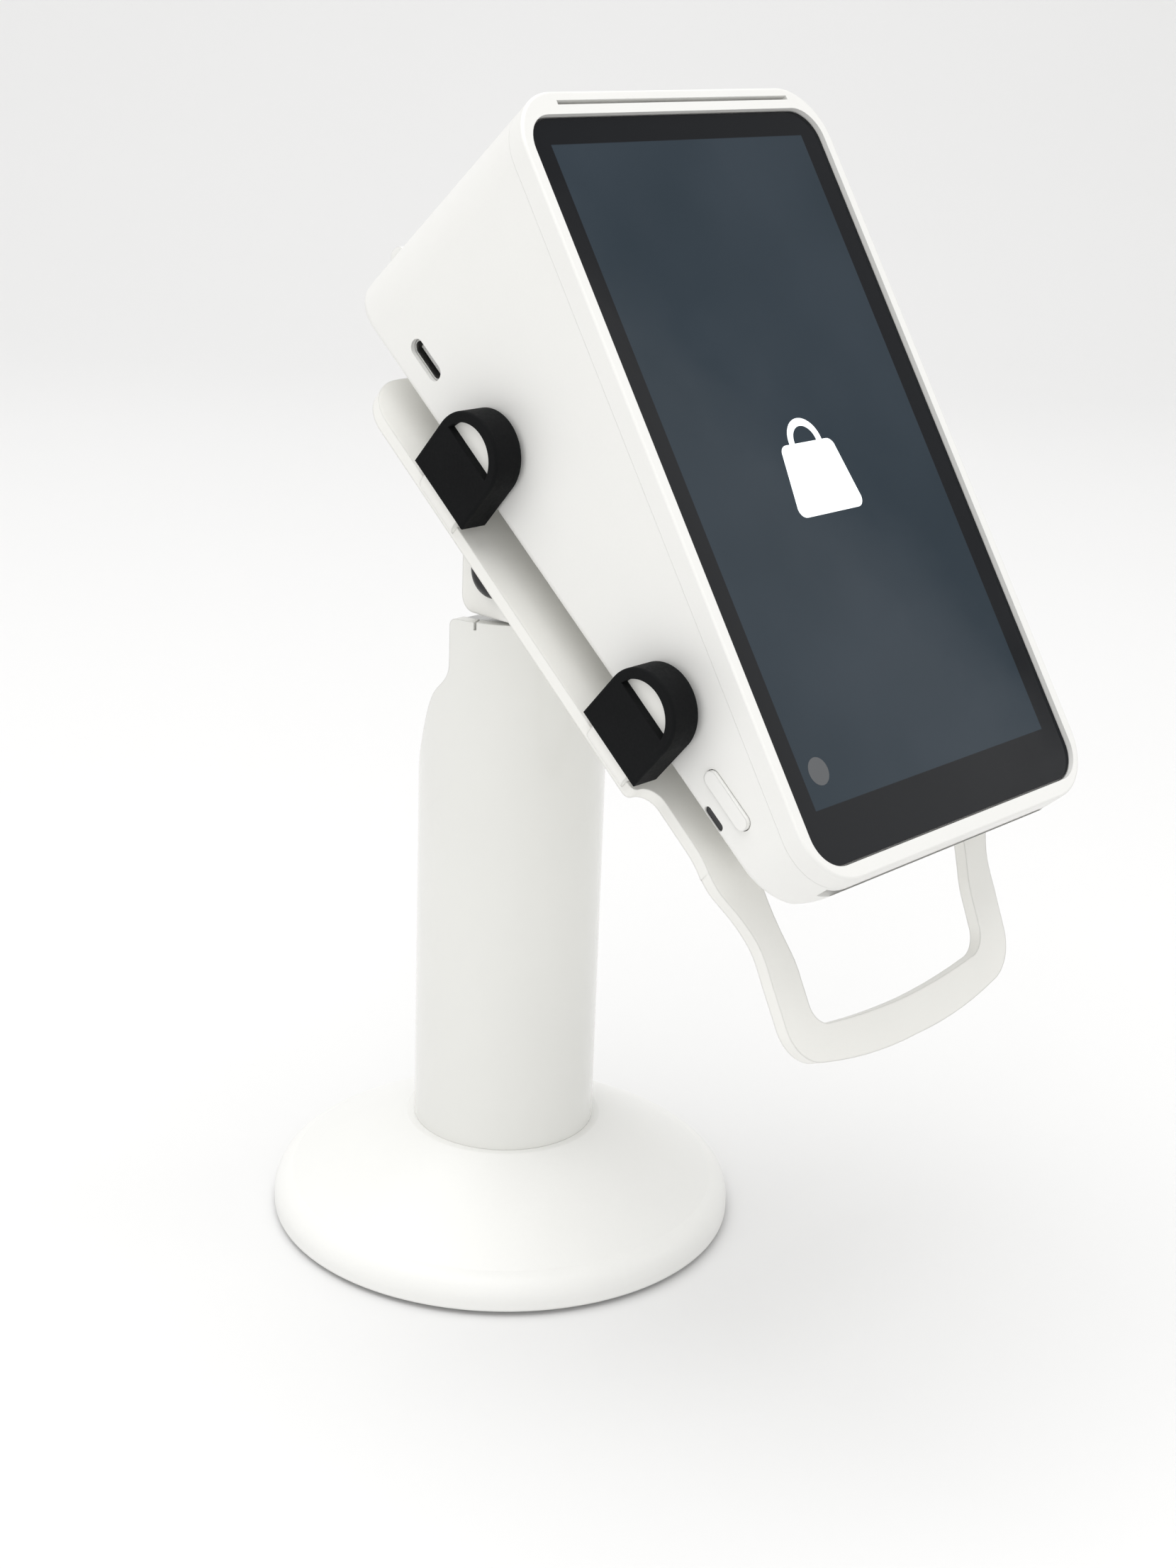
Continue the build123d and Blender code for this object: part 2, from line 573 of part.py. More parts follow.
# ---- front frame ----
RIM_ROUND_FRONT = 0.5
POCKET_FLOOR = -GLASS_THICKNESS
LEDGE_HALF = 37.6
LEDGE_LENGTH = 66.6
BOSS_X = 36.5
BOSS_RADIUS = 3.0
BOSS_PLACES = [(x, along) for x in (-BOSS_X, BOSS_X) for along in (-39.0, 20.0)]
BOSS_SPLIT = -9.0
SCREW_CORE = 1.2
SLIT_ALONG = 70.8
SLIT_WIDTH = 0.8
SLIT_LENGTH = 63.0
SLIT_X = 1.5
with BuildPart() as front_frame:
    add(outer)
    add(slab(SEAM_DEPTH, LIP_HEIGHT + 1), mode=Mode.INTERSECT)
    fillet(front_frame.faces().sort_by(Axis(SCREEN_CENTRE, SCREEN_OUT))[-1].edges(), RIM_ROUND_FRONT)
    with BuildSketch(screen.offset(POCKET_FLOOR)):
        RectangleRounded(GLASS_WIDTH + 2 * GAP, GLASS_LENGTH + 2 * GAP, GLASS_CORNER + GAP)
    extrude(amount=10, mode=Mode.SUBTRACT)
    with BuildSketch(screen.offset(SEAM_DEPTH)):
        RectangleRounded(2 * LEDGE_HALF, 2 * LEDGE_LENGTH, 4)
    extrude(amount=10, mode=Mode.SUBTRACT)
    with BuildSketch(screen.offset(SEAM_DEPTH)):
        with Locations((SLIT_X, SLIT_ALONG)):
            Rectangle(SLIT_LENGTH, SLIT_WIDTH)
    extrude(amount=10, mode=Mode.SUBTRACT)
    with BuildSketch(screen.offset(BOSS_SPLIT)):
        with Locations(BOSS_PLACES):
            Circle(BOSS_RADIUS)
    extrude(amount=SEAM_DEPTH - BOSS_SPLIT)
    with BuildSketch(screen.offset(BOSS_SPLIT)):
        with Locations(BOSS_PLACES):
            Circle(SCREW_CORE)
    extrude(amount=5, mode=Mode.SUBTRACT)
save(front_frame, "front_frame")

# ---- rear housing ----
DOOR_HALF_WIDTH = 34.0
PIVOT_OUT = -41.8
PIVOT_ALONG = top_end(PIVOT_OUT) - 2.2
PIN_RADIUS = 1.0
BARREL_RADIUS = 2.2         # the door's rear edge is a barrel, flush with the top end
BEARING_WIDTH = 3.0
SWING_RELIEF = 2.7          # wall cut back behind the pivot, for the open door
port_along, port_out = 42.9, 5.0            # on the plate's axes
PORT_LENGTH, PORT_WIDTH = 9.0, 3.2
key_along, key_out = -54.95, 4.7
KEY_LENGTH, KEY_WIDTH = 12.0, 3.0
KEY_GAP = 0.15
port_wall = wall_beside(port_along, port_out)
key_wall = wall_beside(key_along, key_out)
LOOP_SLOT_ALONG, LOOP_SLOT_OUT = -55.5, -0.2     # small slot in the back edge
CARD_LOW, CARD_HIGH, CARD_HALF = -5.7, -3.9, 28.5
SCREW_TOP = -4.2
HEAD_RADIUS = 2.3
HEAD_HEIGHT = 1.8
HEAD_SINK = 2.0
with BuildPart() as rear_housing:
    add(outer)
    add(slab(FAR, SEAM_DEPTH), mode=Mode.INTERSECT)
    add(inner, mode=Mode.SUBTRACT)
    # screw pillars
    for place in BOSS_PLACES:
        with BuildSketch(screen.offset(BOSS_SPLIT)):
            with Locations(place):
                Circle(BOSS_RADIUS + 0.2)
        extrude(amount=back_face(place[1]) + 1.0 - BOSS_SPLIT)
    # bearings of the paper door's hinge
    for sign in (-1, 1):
        with BuildSketch(screen_side.offset(sign * DOOR_HALF_WIDTH)):
            with Locations((PIVOT_ALONG, PIVOT_OUT)):
                Circle(BARREL_RADIUS)
        extrude(amount=sign * BEARING_WIDTH)
    # paper door's opening, with room for its barrel and for the open door behind it
    add(slab(PIVOT_OUT, SEAM_DEPTH, 60, 90, DOOR_HALF_WIDTH), mode=Mode.SUBTRACT)
    add(slab(PIVOT_OUT - SWING_RELIEF, PIVOT_OUT, PIVOT_ALONG + 0.5, 90, DOOR_HALF_WIDTH),
        mode=Mode.SUBTRACT)
    with BuildSketch(screen_side):
        with Locations((PIVOT_ALONG, PIVOT_OUT)):
            Circle(BARREL_RADIUS + GAP)
    extrude(amount=DOOR_HALF_WIDTH, both=True, mode=Mode.SUBTRACT)
    with BuildSketch(screen_side):
        with Locations((PIVOT_ALONG, PIVOT_OUT)):
            Circle(PIN_RADIUS)
    extrude(amount=DOOR_HALF_WIDTH + BEARING_WIDTH, both=True, mode=Mode.SUBTRACT)
    # socket and side key on the left wall
    with BuildSketch(back_side.offset(-port_wall - 1)):
        with Locations((port_along, port_out)):
            SlotOverall(PORT_LENGTH, PORT_WIDTH)
        with Locations((key_along, key_out)):
            SlotOverall(KEY_LENGTH + 2 * KEY_GAP, KEY_WIDTH + 2 * KEY_GAP)
        with Locations((LOOP_SLOT_ALONG, LOOP_SLOT_OUT)):
            SlotOverall(5.0, 1.6)
    extrude(amount=6, mode=Mode.SUBTRACT)
    # card slot in the bottom end, in a wide tapered recess
    with BuildSketch(screen.offset(CARD_LOW)):
        with Locations((0, BODY_BOTTOM)):
            Rectangle(2 * CARD_HALF, 10)
    extrude(amount=CARD_HIGH - CARD_LOW, mode=Mode.SUBTRACT)
    with BuildSketch(screen.offset(CARD_LOW - 0.3)):
        with Locations((0, BODY_BOTTOM)):
            Trapezoid(72, 2.4, 60)
    extrude(amount=CARD_HIGH - CARD_LOW + 0.6, mode=Mode.SUBTRACT)
    # screw holes
    for place in BOSS_PLACES:
        head_low = back_face(place[1]) + HEAD_SINK
        with BuildSketch(screen.offset(BOSS_SPLIT)):
            with Locations(place):
                Circle(SCREW_CORE)
        extrude(amount=head_low - BOSS_SPLIT, mode=Mode.SUBTRACT)
        with BuildSketch(screen.offset(head_low + HEAD_HEIGHT)):
            with Locations(place):
                Circle(HEAD_RADIUS + 0.1)
        extrude(amount=-HEAD_HEIGHT - HEAD_SINK - 3, mode=Mode.SUBTRACT)
save(rear_housing, "rear_housing")

with BuildPart() as housing_screws:
    for place in BOSS_PLACES:
        head_low = back_face(place[1]) + HEAD_SINK
        with BuildSketch(screen.offset(head_low)):
            with Locations(place):
                Circle(HEAD_RADIUS)
        extrude(amount=HEAD_HEIGHT)
        with BuildSketch(screen.offset(head_low + HEAD_HEIGHT)):
            with Locations(place):
                Circle(SCREW_CORE)
        extrude(amount=SCREW_TOP - head_low - HEAD_HEIGHT)
        with BuildSketch(screen.offset(head_low)):
            with Locations(place):
                Rectangle(2.6, 0.6)
                Rectangle(0.6, 2.6)
        extrude(amount=1.0, mode=Mode.SUBTRACT)
save(housing_screws, "housing_screws")

COVER_LOW, COVER_HIGH, COVER_HALF = -50.0, 45.0, 31.0
with BuildPart() as back_cover:
    with BuildSketch(back.offset(PLATE_FRONT)):
        with Locations((0, (COVER_LOW + COVER_HIGH) / 2)):
            RectangleRounded(2 * COVER_HALF, COVER_HIGH - COVER_LOW, 9)
    extrude(amount=-PLATE_FRONT - BACK_CROWN)
    fillet(back_cover.faces().sort_by(Axis(BACK_ORIGIN, PLATE_OUT))[0].edges(), radius=1.5)
save(back_cover, "back_cover")

# ---- screen stack and boards ----
with BuildPart() as touch_glass:
    with BuildSketch(screen.offset(-GLASS_THICKNESS)):
        RectangleRounded(GLASS_WIDTH, GLASS_LENGTH, GLASS_CORNER)
    extrude(amount=GLASS_THICKNESS)
save(touch_glass, "touch_glass")

DISPLAY_BACK = -3.0
with BuildPart() as display_panel:
    with BuildSketch(screen.offset(DISPLAY_BACK)):
        with Locations((0, 2.0)):
            RectangleRounded(73.0, 127.0, 3)
    extrude(amount=-GLASS_THICKNESS - DISPLAY_BACK)
save(display_panel, "display_panel")

CHASSIS_BACK = -5.3
with BuildPart() as inner_chassis:
    add(slab(CHASSIS_BACK, DISPLAY_BACK, -36.0, 55.0, 33.0))
save(inner_chassis, "inner_chassis")

BOARD_BACK = -6.9
with BuildPart() as main_board:
    add(slab(BOARD_BACK, CHASSIS_BACK, -35.0, 26.0, 33.0))
save(main_board, "main_board")

BATTERY_BACK = -19.0
with BuildPart() as battery_pack:
    with BuildSketch(screen.offset(BATTERY_BACK)):
        with Locations((0, 0)):
            RectangleRounded(60, 44, 3)
    extrude(amount=BOARD_BACK - BATTERY_BACK)
save(battery_pack, "battery_pack")

with BuildPart() as card_reader:
    add(slab(-8.4, DISPLAY_BACK, -66.0, -37.0, 30.0))
    add(slab(CARD_LOW + 0.3, CARD_HIGH - 0.3, -67.0, -40.0, CARD_HALF - 1.5), mode=Mode.SUBTRACT)
save(card_reader, "card_reader")

with BuildPart() as speaker:
    with BuildSketch(screen.offset(BOARD_BACK)):
        with Locations((20.0, -30.0)):
            Circle(5.0)
    extrude(amount=-4.0)
save(speaker, "speaker")

with BuildPart() as usb_port:
    with BuildSketch(back_side.offset(-port_wall + 0.8)):
        with Locations((port_along, port_out)):
            SlotOverall(PORT_LENGTH - 0.1, PORT_WIDTH - 0.1)
    extrude(amount=7.4)
    with BuildSketch(back_side.offset(-port_wall + 0.8)):
        with Locations((port_along, port_out)):
            SlotOverall(PORT_LENGTH - 0.8, PORT_WIDTH - 0.8)
    extrude(amount=6.6, mode=Mode.SUBTRACT)
    with BuildSketch(back_side.offset(-port_wall + 1.6)):
        with Locations((port_along, port_out)):
            Rectangle(6.7, 0.7)
    extrude(amount=6.6)
save(usb_port, "usb_port")

# ---- side key ----
KEY_PROUD = 0.7
KEY_FLANGE = 0.8
inner_wall = WALL - key_wall
with BuildPart() as side_key:
    with BuildSketch(back_side.offset(-key_wall - KEY_PROUD)):
        with Locations((key_along, key_out)):
            SlotOverall(KEY_LENGTH, KEY_WIDTH)
    extrude(amount=KEY_PROUD + WALL + GAP)
    with BuildSketch(back_side.offset(inner_wall + GAP)):
        with Locations((key_along, key_out)):
            SlotOverall(KEY_LENGTH + 2.4, KEY_WIDTH + 2.0)
    extrude(amount=KEY_FLANGE)
save(side_key, "side_key")

KEY_TRAVEL = 0.8
with BuildPart() as key_switch:
    with BuildSketch(back_side.offset(inner_wall + GAP + KEY_FLANGE + KEY_TRAVEL + GAP)):
        with Locations((key_along, key_out)):
            Rectangle(6.0, 3.4)
    extrude(amount=3.5)
save(key_switch, "key_switch")

# ---- printer ----
ROLL_ALONG, ROLL_OUT = 43.5, -26.6
ROLL_RADIUS, ROLL_CORE, ROLL_HALF = 15.0, 6.0, 28.5
TRAY_WALL = 1.2
with BuildPart() as paper_roll:
    with BuildSketch(screen_side):
        with Locations((ROLL_ALONG, ROLL_OUT)):
            Circle(ROLL_RADIUS)
            Circle(ROLL_CORE, mode=Mode.SUBTRACT)
    extrude(amount=ROLL_HALF, both=True)
save(paper_roll, "paper_roll")

with BuildPart() as paper_tray:
    with BuildSketch(screen_side):
        with Locations((ROLL_ALONG, ROLL_OUT)):
            Circle(ROLL_RADIUS + 0.5 + TRAY_WALL)
            Circle(ROLL_RADIUS + 0.5, mode=Mode.SUBTRACT)
        with Locations((ROLL_ALONG, ROLL_OUT + 17)):
            Rectangle(60, 34, mode=Mode.SUBTRACT)
    extrude(amount=30.0, both=True)
save(paper_tray, "paper_tray")

PLATEN_ALONG, PLATEN_OUT = 60.0, -9.8
PLATEN_RADIUS, SHAFT_RADIUS, PLATEN_HALF = 4.0, 1.5, 29.0
CARRIER_IN, CARRIER_OUT = 29.8, 31.6
with BuildPart() as platen_roller:
    with BuildSketch(screen_side):
        with Locations((PLATEN_ALONG, PLATEN_OUT)):
            Circle(PLATEN_RADIUS)
    extrude(amount=PLATEN_HALF, both=True)
    with BuildSketch(screen_side):
        with Locations((PLATEN_ALONG, PLATEN_OUT)):
            Circle(SHAFT_RADIUS)
    extrude(amount=CARRIER_OUT + 0.4, both=True)
save(platen_roller, "platen_roller")

head_face = PLATEN_ALONG - PLATEN_RADIUS - GAP
with BuildPart() as print_head:
    add(slab(-13.5, -6.5, head_face - 1.5, head_face, 26.0))
save(print_head, "print_head")

with BuildPart() as head_bracket:
    add(slab(-11.5, CHASSIS_BACK, head_face - 3.2, head_face - 1.5, 28.0))
save(head_bracket, "head_bracket")

DOOR_FRONT = SEAM_DEPTH - GAP
with BuildPart() as paper_door:
    add(outer)
    add(inner, mode=Mode.SUBTRACT)
    add(slab(PIVOT_OUT, DOOR_FRONT, 60, 90, DOOR_HALF_WIDTH - GAP), mode=Mode.INTERSECT)
    add(slab(-6.0, DOOR_FRONT, 60, SLIT_ALONG + 0.55, 33.2), mode=Mode.SUBTRACT)
    # arms that carry the platen roller
    for sign in (-1, 1):
        with BuildSketch(screen_side.offset(sign * CARRIER_IN)):
            with Locations((PLATEN_ALONG, PLATEN_OUT)):
                Circle(3.0)
            Polygon((PLATEN_ALONG, PLATEN_OUT + 3.0), (top_end(-7.5) - 1, PLATEN_OUT + 3.0),
                    (top_end(-17) - 1, -17.0), (PLATEN_ALONG, PLATEN_OUT - 3.0), align=None)
        extrude(amount=sign * (CARRIER_OUT - CARRIER_IN))
    with BuildSketch(screen_side):
        with Locations((PLATEN_ALONG, PLATEN_OUT)):
            Circle(SHAFT_RADIUS + RUNNING)
    extrude(amount=CARRIER_OUT + 1, both=True, mode=Mode.SUBTRACT)
    # hinge barrel
    with BuildSketch(screen_side):
        with Locations((PIVOT_ALONG, PIVOT_OUT)):
            Circle(BARREL_RADIUS)
    extrude(amount=DOOR_HALF_WIDTH - GAP, both=True)
    with BuildSketch(screen_side):
        with Locations((PIVOT_ALONG, PIVOT_OUT)):
            Circle(PIN_RADIUS + RUNNING)
    extrude(amount=DOOR_HALF_WIDTH, both=True, mode=Mode.SUBTRACT)
save(paper_door, "paper_door")

with BuildPart() as door_pin:
    with BuildSketch(screen_side):
        with Locations((PIVOT_ALONG, PIVOT_OUT)):
            Circle(PIN_RADIUS)
    extrude(amount=DOOR_HALF_WIDTH + BEARING_WIDTH, both=True)
save(door_pin, "door_pin")
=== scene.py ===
import bpy
import bmesh
import math
from mathutils import Matrix, Vector


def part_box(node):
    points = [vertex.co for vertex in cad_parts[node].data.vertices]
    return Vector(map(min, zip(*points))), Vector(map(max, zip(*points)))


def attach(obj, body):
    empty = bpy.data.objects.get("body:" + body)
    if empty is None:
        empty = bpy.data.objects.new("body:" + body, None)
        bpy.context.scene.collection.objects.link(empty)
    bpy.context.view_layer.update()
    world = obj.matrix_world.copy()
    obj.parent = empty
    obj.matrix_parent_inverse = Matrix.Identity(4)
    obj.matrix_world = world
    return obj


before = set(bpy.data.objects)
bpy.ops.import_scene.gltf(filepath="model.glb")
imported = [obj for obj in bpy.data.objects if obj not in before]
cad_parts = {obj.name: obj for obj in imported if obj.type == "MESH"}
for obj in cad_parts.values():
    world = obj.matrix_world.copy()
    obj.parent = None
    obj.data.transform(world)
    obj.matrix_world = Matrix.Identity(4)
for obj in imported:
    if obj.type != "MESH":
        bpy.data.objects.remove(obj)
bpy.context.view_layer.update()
MM = 0.001
SMOOTH_ANGLE = math.radians(28)

# ---------------------------------------------------------------- the screen's axes
SCREEN_LEAN = math.radians(57.4)
SCREEN_UP = Vector((0, math.cos(SCREEN_LEAN), math.sin(SCREEN_LEAN)))
SCREEN_OUT = Vector((0, -math.sin(SCREEN_LEAN), math.cos(SCREEN_LEAN)))
GLASS_THICKNESS = 1.1 * MM
glass_low, glass_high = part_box("touch_glass")
SCREEN_CENTRE = (Vector(glass_low) + Vector(glass_high)) / 2 + SCREEN_OUT * GLASS_THICKNESS / 2


def on_screen(x, along, out):
    """A point given in millimetres across, along and out of the screen."""
    return SCREEN_CENTRE + Vector((x * MM, 0, 0)) + SCREEN_UP * along * MM + SCREEN_OUT * out * MM


WEDGE_ANGLE = math.radians(16.9)
BACK_DEPTH = 31.2


def in_side(along, up, x):
    """A point given in millimetres along and above the back edges, and across."""
    forward = along * math.cos(WEDGE_ANGLE) + up * math.sin(WEDGE_ANGLE)
    out = up * math.cos(WEDGE_ANGLE) - along * math.sin(WEDGE_ANGLE) - BACK_DEPTH
    return on_screen(x, forward, out)


# ---------------------------------------------------------------- material kit
def tree(name):
    """A new material, with its nodes, its links and its shader."""
    mat = bpy.data.materials.new(name)
    mat.use_nodes = True
    nodes = mat.node_tree.nodes
    shader = nodes["Principled BSDF"]
    return mat, nodes, mat.node_tree.links, shader


def noise(nodes, links, coords, scale, detail=2.0, rough=0.5):
    """A noise pattern from 0 to 1 over the given coordinates."""
    tex = nodes.new("ShaderNodeTexNoise")
    tex.inputs["Scale"].default_value = scale
    tex.inputs["Detail"].default_value = detail
    tex.inputs["Roughness"].default_value = rough
    links.new(coords, tex.inputs["Vector"])
    return tex.outputs["Fac"]


def ramp(nodes, links, fac, low, high, a=0.3, b=0.7):
    """The input's stretch from a to b, spread from low to high."""
    node = nodes.new("ShaderNodeMapRange")
    node.inputs["From Min"].default_value = a
    node.inputs["From Max"].default_value = b
    node.inputs["To Min"].default_value = low
    node.inputs["To Max"].default_value = high
    links.new(fac, node.inputs["Value"])
    return node.outputs["Result"]


def blend_colours(nodes, links, fac, low, high):
    """One colour at 0, the other at 1."""
    node = nodes.new("ShaderNodeMix")
    node.data_type = "RGBA"
    node.inputs["A"].default_value = (*low, 1)
    node.inputs["B"].default_value = (*high, 1)
    links.new(fac, node.inputs["Factor"])
    return node.outputs["Result"]


def surface(name, colour, shift=0.02, rough=(0.35, 0.45), metallic=0.0, grain=900.0, bump=0.05,
            depth=0.00002, edge=0.00025, coat=0.0, coat_rough=0.1, stretch=(1, 1, 1), patch=28.0,
            specular=0.5, stipple=0.0):
    """A coloured solid surface with cloudy tone, a fine grain in gloss and relief, and soft edges."""
    mat, nodes, links, shader = tree(name)
    coords = nodes.new("ShaderNodeTexCoord").outputs["Object"]
    mapping = nodes.new("ShaderNodeMapping")
    mapping.inputs["Scale"].default_value = stretch
    links.new(coords, mapping.inputs["Vector"])
    cloud = noise(nodes, links, coords, patch, 3.0, 0.6)
    darker = tuple(max(0.0, c * (1 - shift)) for c in colour)
    lighter = tuple(min(1.0, c * (1 + shift)) for c in colour)
    tone = blend_colours(nodes, links, ramp(nodes, links, cloud, 0, 1), darker, lighter)
    fine = noise(nodes, links, mapping.outputs["Vector"], grain, 4.0, 0.65)
    if stipple:
        speck = nodes.new("ShaderNodeMix")
        speck.data_type = "RGBA"
        speck.blend_type = "MULTIPLY"
        speck.inputs["Factor"].default_value = stipple
        links.new(tone, speck.inputs["A"])
        grey = blend_colours(nodes, links, ramp(nodes, links, fine, 0, 1), (0.35,) * 3, (1,) * 3)
        links.new(grey, speck.inputs["B"])
        tone = speck.outputs["Result"]
    links.new(tone, shader.inputs["Base Color"])
    links.new(ramp(nodes, links, fine, rough[0], rough[1]), shader.inputs["Roughness"])
    shader.inputs["Metallic"].default_value = metallic
    shader.inputs["Specular IOR Level"].default_value = specular
    shader.inputs["Coat Weight"].default_value = coat
    shader.inputs["Coat Roughness"].default_value = coat_rough
    soft = nodes.new("ShaderNodeBevel")
    soft.samples = 4
    soft.inputs["Radius"].default_value = edge
    relief = nodes.new("ShaderNodeBump")
    relief.inputs["Strength"].default_value = bump
    relief.inputs["Distance"].default_value = depth
    links.new(fine, relief.inputs["Height"])
    links.new(soft.outputs["Normal"], relief.inputs["Normal"])
    links.new(relief.outputs["Normal"], shader.inputs["Normal"])
    return mat


# the display's lit area, in millimetres about the screen's centre
PICTURE_X, PICTURE_HALF_WIDTH = -0.3, 34.3
PICTURE_ALONG, PICTURE_HALF_LENGTH = 2.5, 60.9
PICTURE_EDGE = 0.08


def screen_material():
    """Dark glass over a display that shows a dark blue-grey picture inside a black border."""
    mat, nodes, links, shader = tree("dark_screen")
    coords = nodes.new("ShaderNodeTexCoord").outputs["Object"]
    along = nodes.new("ShaderNodeVectorMath")
    along.operation = "DOT_PRODUCT"
    along.inputs[1].default_value = SCREEN_UP
    links.new(coords, along.inputs[0])
    split = nodes.new("ShaderNodeSeparateXYZ")
    links.new(coords, split.inputs[0])

    def inside(value, centre, half):
        shifted = nodes.new("ShaderNodeMath")
        shifted.operation = "SUBTRACT"
        shifted.inputs[1].default_value = centre
        links.new(value, shifted.inputs[0])
        size = nodes.new("ShaderNodeMath")
        size.operation = "ABSOLUTE"
        links.new(shifted.outputs[0], size.inputs[0])
        return ramp(nodes, links, size.outputs[0], 1, 0, half - PICTURE_EDGE * MM, half + PICTURE_EDGE * MM)

    across = inside(split.outputs["X"], PICTURE_X * MM, PICTURE_HALF_WIDTH * MM)
    middle = SCREEN_CENTRE.dot(SCREEN_UP) + PICTURE_ALONG * MM
    lengthways = inside(along.outputs["Value"], middle, PICTURE_HALF_LENGTH * MM)
    picture = nodes.new("ShaderNodeMath")
    picture.operation = "MULTIPLY"
    links.new(across, picture.inputs[0])
    links.new(lengthways, picture.inputs[1])
    cloud = noise(nodes, links, coords, 22.0, 2.0, 0.5)
    active = blend_colours(nodes, links, ramp(nodes, links, cloud, 0, 1, 0.35, 0.65),
                           (0.020, 0.032, 0.044), (0.029, 0.042, 0.056))
    mix = nodes.new("ShaderNodeMix")
    mix.data_type = "RGBA"
    mix.inputs["A"].default_value = (0.0055, 0.0065, 0.0085, 1)
    links.new(picture.outputs[0], mix.inputs["Factor"])
    links.new(active, mix.inputs["B"])
    links.new(mix.outputs["Result"], shader.inputs["Base Color"])
    smear = noise(nodes, links, coords, 60.0, 3.0, 0.6)
    links.new(ramp(nodes, links, smear, 0.05, 0.13), shader.inputs["Roughness"])
    shader.inputs["IOR"].default_value = 1.45
    shader.inputs["Specular IOR Level"].default_value = 0.15
    return mat


def glow_material(name, colour, strength):
    """A lit part of the display, with a fine grid of picture points."""
    mat, nodes, links, shader = tree(name)
    coords = nodes.new("ShaderNodeTexCoord").outputs["Object"]
    grid = nodes.new("ShaderNodeTexBrick")
    grid.inputs["Scale"].default_value = 9000.0
    grid.inputs["Color1"].default_value = (*colour, 1)
    grid.inputs["Color2"].default_value = (*(c * 0.985 for c in colour), 1)
    grid.inputs["Mortar"].default_value = (*(c * 0.93 for c in colour), 1)
    links.new(coords, grid.inputs["Vector"])
    links.new(grid.outputs["Color"], shader.inputs["Base Color"])
    links.new(grid.outputs["Color"], shader.inputs["Emission Color"])
    shader.inputs["Emission Strength"].default_value = strength
    shader.inputs["Roughness"].default_value = 0.12
    return mat


WHITE_CASING = surface("white_casing", (0.84, 0.838, 0.815), 0.012, (0.34, 0.46), grain=2600, bump=0.10,
                       depth=0.00003, edge=0.00015, stipple=0.02)
BRACKET_PAINT = surface("bracket_powder_coat", (0.86, 0.855, 0.82), 0.015, (0.36, 0.5), grain=1500,
                        bump=0.14, depth=0.00004, edge=0.0005, stipple=0.02)
TUBE_PAINT = surface("tube_gloss_paint", (0.78, 0.78, 0.75), 0.01, (0.16, 0.24), grain=420, bump=0.05,
                     depth=0.00003, edge=0.0004, coat=0.6, coat_rough=0.06)
BASE_PAINT = surface("base_paint", (0.88, 0.88, 0.86), 0.01, (0.34, 0.46), grain=1300, bump=0.10,
                     depth=0.00003, edge=0.0006, stipple=0.015)
RUBBER = surface("moulded_rubber", (0.0055, 0.006, 0.0065), 0.25, (0.62, 0.8), grain=1800, bump=0.4,
                 depth=0.00006, edge=0.0004, stipple=0.25, specular=0.1)
KEY_PLASTIC = surface("side_key_plastic", (0.84, 0.838, 0.815), 0.012, (0.3, 0.42), grain=2400, bump=0.08,
                      edge=0.0005)
INNER_PLASTIC = surface("inner_plastic", (0.03, 0.03, 0.032), 0.2, (0.45, 0.6), grain=1500, bump=0.25,
                        stipple=0.2)
STEEL = surface("turned_steel", (0.58, 0.58, 0.57), 0.06, (0.25, 0.42), metallic=1.0, grain=1100,
                bump=0.12, stretch=(1, 1, 9))
BLACK_BOLT = surface("blackened_bolt", (0.018, 0.018, 0.019), 0.25, (0.28, 0.42), metallic=0.4,
                     grain=1300, bump=0.15, edge=0.0004)
CAST = surface("cast_weight", (0.10, 0.10, 0.10), 0.3, (0.6, 0.8), metallic=0.6, grain=500, bump=0.6,
               depth=0.0002, stipple=0.3)
ALUMINIUM = surface("aluminium_sheet", (0.72, 0.72, 0.73), 0.04, (0.3, 0.4), metallic=1.0, grain=900,
                    bump=0.1, stretch=(1, 8, 1))
BOARD = surface("circuit_board", (0.02, 0.10, 0.05), 0.2, (0.35, 0.5), grain=700, bump=0.3)
PAPER = surface("receipt_paper", (0.86, 0.86, 0.84), 0.02, (0.75, 0.85), grain=1600, bump=0.2,
                stretch=(1, 1, 1), stipple=0.05)
SCREEN = screen_material()

FINISH = {
    "rear_housing": WHITE_CASING, "back_cover": WHITE_CASING, "paper_door": WHITE_CASING,
    "front_frame": WHITE_CASING, "touch_glass": SCREEN, "display_panel": INNER_PLASTIC,
    "bracket_plate": BRACKET_PAINT, "tilt_arm": BRACKET_PAINT, "swivel_head": BRACKET_PAINT,
    "pole_tube": TUBE_PAINT, "base_cover": BASE_PAINT, "base_pad": RUBBER, "base_weight": CAST,
    "pole_foot_plug": STEEL, "pole_foot_bolt": STEEL, "pole_seat": STEEL, "swivel_bolt": STEEL,
    "swivel_washer": INNER_PLASTIC, "swivel_spring_washers": STEEL, "swivel_nut": STEEL,
    "tilt_bolt": BLACK_BOLT, "tilt_nut": BLACK_BOLT, "tilt_washers": INNER_PLASTIC,
    "arm_screws": STEEL, "inner_chassis": ALUMINIUM, "main_board": BOARD,
    "battery_pack": INNER_PLASTIC, "card_reader": INNER_PLASTIC, "speaker": INNER_PLASTIC,
    "usb_port": STEEL, "side_key": KEY_PLASTIC, "key_switch": INNER_PLASTIC, "paper_roll": PAPER,
    "paper_tray": INNER_PLASTIC, "platen_roller": RUBBER, "print_head": INNER_PLASTIC,
    "head_bracket": STEEL, "door_pin": STEEL, "housing_screws": STEEL,
}

